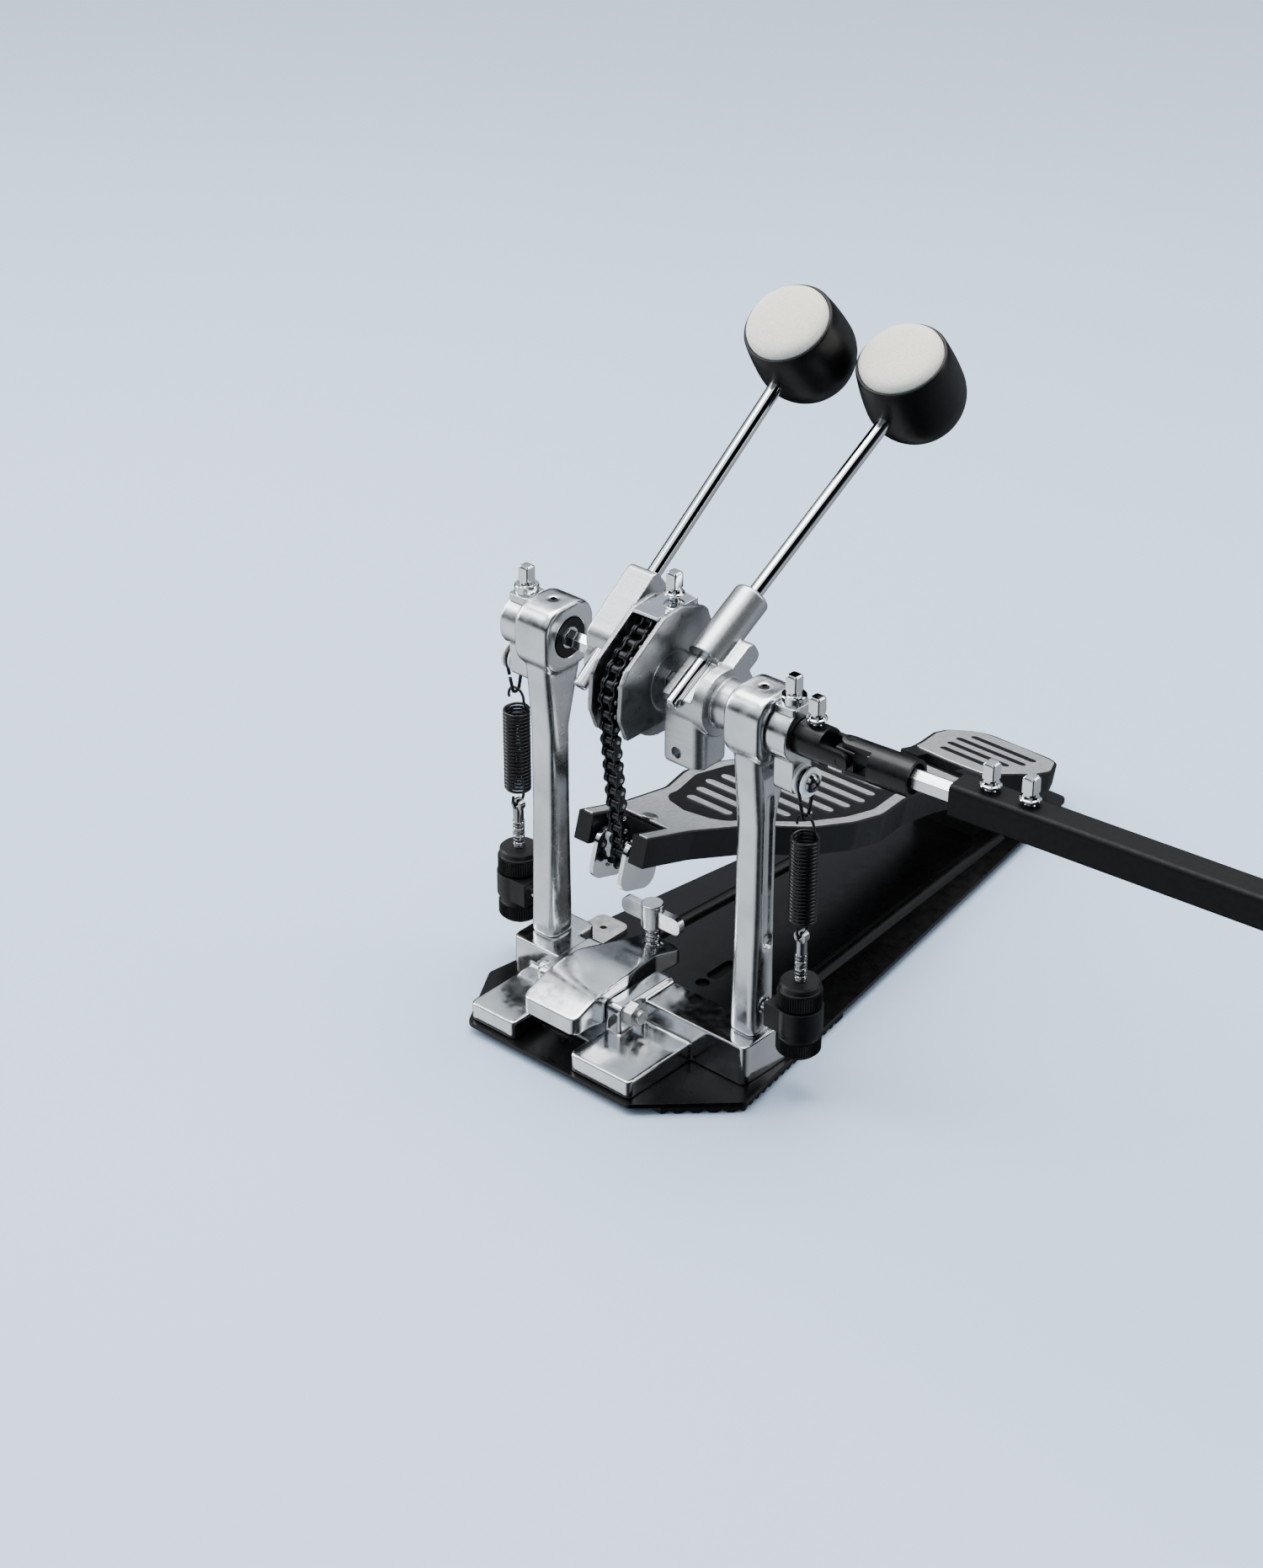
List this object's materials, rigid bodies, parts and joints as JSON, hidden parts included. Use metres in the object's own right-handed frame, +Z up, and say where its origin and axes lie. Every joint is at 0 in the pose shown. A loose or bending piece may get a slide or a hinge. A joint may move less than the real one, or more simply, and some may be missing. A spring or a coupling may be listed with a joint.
{
  "type": "double bass drum pedal",
  "caption": "Chain-drive bass drum pedal with a second beater on a sleeve, driven by a telescopic shaft with universal joints; hinged footboard, coil springs and a hoop clamp.",
  "frame": {"origin": "on the floor under the middle of the axle", "axes": "+X along the axle towards the drive shaft, +Y towards the heel, +Z up"},
  "size_m": [0.5533, 0.4179, 0.3767],
  "materials": {
    "black_steel": "satin black coat on steel",
    "polished_aluminium": "polished casting",
    "brushed_aluminium": "brushed casting",
    "chrome": "mirror chrome",
    "zinc_steel": "zinc plated steel",
    "rubber": "moulded rubber",
    "black_plastic": "moulded black plastic",
    "white_plastic": "moulded white plastic",
    "felt": "pressed felt",
    "black_spring": "black coated spring wire",
    "black_chain": "black oxide roller chain"
  },
  "bodies": {
    "base": {"base_plate": "black_steel", "grip_mats": "rubber", "frame_casting": "polished_aluminium", "anchor_plate": "zinc_steel", "left_post": "polished_aluminium", "right_post": "polished_aluminium", "post_bearings": "chrome", "heel_plate": "brushed_aluminium", "hinge_pin": "chrome", "heel_screws": "chrome", "clamp_pivot_bolt": "chrome", "spring_brackets": "black_steel", "bracket_pins": "chrome", "lock_nuts": "black_steel"},
    "left_adjuster": {"left_lower_nut": "black_steel"},
    "left_eye": {"left_eye_bolt": "chrome"},
    "left_coil": {"left_spring": "black_spring"},
    "right_adjuster": {"right_lower_nut": "black_steel"},
    "right_eye": {"right_eye_bolt": "chrome"},
    "right_coil": {"right_spring": "black_spring"},
    "main": {"main_axle": "chrome", "cam": "polished_aluminium", "cam_lining": "black_plastic", "chain_wound": "black_chain", "chain_anchor_plate": "chrome", "main_hub": "brushed_aluminium", "main_rod": "chrome", "main_head": "black_plastic", "main_felt": "felt", "left_lever": "brushed_aluminium", "left_bush": "white_plastic", "main_fasteners": "chrome"},
    "left_link": {"left_hook": "black_steel"},
    "link_1": {"chain_link_1": "black_chain"},
    "link_2": {"chain_link_2": "black_chain"},
    "link_3": {"chain_link_3": "black_chain"},
    "link_4": {"chain_link_4": "black_chain"},
    "hanging_chain": {"chain_run": "black_chain"},
    "board": {"footboard": "brushed_aluminium", "chain_stirrup": "chrome", "stirrup_screw": "chrome"},
    "second": {"second_sleeve": "chrome", "second_hub": "brushed_aluminium", "second_rod": "chrome", "second_head": "black_plastic", "second_felt": "felt", "right_lever": "brushed_aluminium", "right_bush": "white_plastic", "near_yoke": "black_steel", "second_fasteners": "chrome"},
    "right_link": {"right_hook": "black_steel"},
    "inner_spider": {"near_cross": "zinc_steel"},
    "shaft_rod": {"mid_yoke": "black_steel", "hex_rod": "zinc_steel"},
    "shaft_tube": {"drive_tube": "black_steel", "tube_key_bolts": "chrome"},
    "outer_spider": {"far_cross": "zinc_steel"},
    "shaft_end": {"end_yoke": "black_steel"},
    "clamp": {"clamp_lever": "polished_aluminium"},
    "wing": {"wing_bolt": "chrome"}
  },
  "joints": [
    {"name": "main_drive", "type": "hinge", "parent": "base", "child": "main", "pos_m": [0, 0, 0.216], "axis": [1, 0, 0], "range_deg": [-4, 52], "stiffness_Nm_per_rad": 3, "springref_deg": 1.72},
    {"name": "footboard_hinge", "type": "hinge", "parent": "base", "child": "board", "pos_m": [0, 0.24991, 0.044], "axis": [1, 0, 0], "range_deg": [-0.6, 6.6]},
    {"name": "chain_pin_1", "type": "hinge", "parent": "main", "child": "link_1", "pos_m": [0, -0.02494, 0.23603], "axis": [1, 0, 0], "range_deg": [-13.7, 1.2]},
    {"name": "chain_pin_2", "type": "hinge", "parent": "link_1", "child": "link_2", "pos_m": [0, -0.03053, 0.2303], "axis": [1, 0, 0], "range_deg": [-12.5, 1.1]},
    {"name": "chain_pin_3", "type": "hinge", "parent": "link_2", "child": "link_3", "pos_m": [0, -0.03452, 0.22336], "axis": [1, 0, 0], "range_deg": [-12.5, 1.1]},
    {"name": "chain_pin_4", "type": "hinge", "parent": "link_3", "child": "link_4", "pos_m": [0, -0.03666, 0.21565], "axis": [1, 0, 0], "range_deg": [-12.5, 1.1]},
    {"name": "chain_pin_5", "type": "hinge", "parent": "link_4", "child": "hanging_chain", "pos_m": [0, -0.03682, 0.20766], "axis": [1, 0, 0], "range_deg": [-6.3, 0.6]},
    {"name": "left_hook_swing", "type": "hinge", "parent": "main", "child": "left_link", "pos_m": [-0.1007, 0, 0.191], "axis": [1, 0, 0], "range_deg": [-63.3, 5]},
    {"name": "second_drive", "type": "hinge", "parent": "base", "child": "second", "pos_m": [0, 0, 0.216], "axis": [1, 0, 0], "range_deg": [-4, 58], "stiffness_Nm_per_rad": 3, "springref_deg": 1.72},
    {"name": "right_hook_swing", "type": "hinge", "parent": "second", "child": "right_link", "pos_m": [0.1007, 0, 0.191], "axis": [1, 0, 0], "range_deg": [-70.6, 5]},
    {"name": "left_adjuster_turn", "type": "hinge", "parent": "base", "child": "left_adjuster", "pos_m": [-0.1007, 0, 0.034], "axis": [0, 0, 1], "range_deg": [-1440, 1440]},
    {"name": "left_eye_slide", "type": "slide", "parent": "base", "child": "left_eye", "axis": [0, 0, 1], "range_m": [-0.00401, 0.00401]},
    {"name": "left_spring_swing", "type": "hinge", "parent": "left_eye", "child": "left_coil", "pos_m": [-0.1007, 0, 0.098], "axis": [1, 0, 0], "range_deg": [-11.3, 1], "deforming": ["left_spring"]},
    {"name": "right_adjuster_turn", "type": "hinge", "parent": "base", "child": "right_adjuster", "pos_m": [0.1007, 0, 0.034], "axis": [0, 0, 1], "range_deg": [-1440, 1440]},
    {"name": "right_eye_slide", "type": "slide", "parent": "base", "child": "right_eye", "axis": [0, 0, 1], "range_m": [-0.00401, 0.00401]},
    {"name": "right_spring_swing", "type": "hinge", "parent": "right_eye", "child": "right_coil", "pos_m": [0.1007, 0, 0.098], "axis": [1, 0, 0], "range_deg": [-12.6, 1], "deforming": ["right_spring"]},
    {"name": "inner_pitch", "type": "hinge", "parent": "second", "child": "inner_spider", "pos_m": [0.128, 0, 0.216], "axis": [0, 1, 0], "range_deg": [-25, 25]},
    {"name": "inner_yaw", "type": "hinge", "parent": "inner_spider", "child": "shaft_rod", "pos_m": [0.128, 0, 0.216], "axis": [0, 0, 1], "range_deg": [-25, 25]},
    {"name": "shaft_telescope", "type": "slide", "parent": "shaft_rod", "child": "shaft_tube", "axis": [0.9971, 0.0767, 0], "range_m": [-0.02, 0.02]},
    {"name": "outer_pitch", "type": "hinge", "parent": "shaft_tube", "child": "outer_spider", "pos_m": [0.3972, 0.02071, 0.216], "axis": [-0.0767, 0.9971, 0], "range_deg": [-25, 25]},
    {"name": "outer_yaw", "type": "hinge", "parent": "outer_spider", "child": "shaft_end", "pos_m": [0.3972, 0.02071, 0.216], "axis": [0, 0, 1], "range_deg": [-25, 25]},
    {"name": "wing_turn", "type": "hinge", "parent": "base", "child": "wing", "pos_m": [-0.0165, 0.017, 0.03], "axis": [0, 0, 1], "range_deg": [-1080, 1080]},
    {"name": "clamp_tilt", "type": "hinge", "parent": "base", "child": "clamp", "pos_m": [-0.0165, -0.035, 0.029], "axis": [1, 0, 0], "range_deg": [-4.2, 4.2]}
  ],
  "couplings": [
    {"joint": "footboard_hinge", "follows": "main_drive", "ratio": 0.1242},
    {"joint": "chain_pin_1", "follows": "main_drive", "ratio": -0.2608},
    {"joint": "chain_pin_2", "follows": "main_drive", "ratio": -0.2375},
    {"joint": "chain_pin_3", "follows": "main_drive", "ratio": -0.2375},
    {"joint": "chain_pin_4", "follows": "main_drive", "ratio": -0.2375},
    {"joint": "chain_pin_5", "follows": "main_drive", "ratio": -0.1188},
    {"joint": "left_hook_swing", "follows": "main_drive", "ratio": -1.215},
    {"joint": "right_hook_swing", "follows": "second_drive", "ratio": -1.215},
    {"joint": "left_eye_slide", "follows": "left_adjuster_turn", "m_per_rad": -0.00015915},
    {"joint": "left_spring_swing", "follows": "main_drive", "ratio": -0.215},
    {"joint": "right_eye_slide", "follows": "right_adjuster_turn", "m_per_rad": -0.00015915},
    {"joint": "right_spring_swing", "follows": "second_drive", "ratio": -0.215},
    {"joint": "clamp_tilt", "follows": "wing_turn", "ratio": -0.003826}
  ]
}
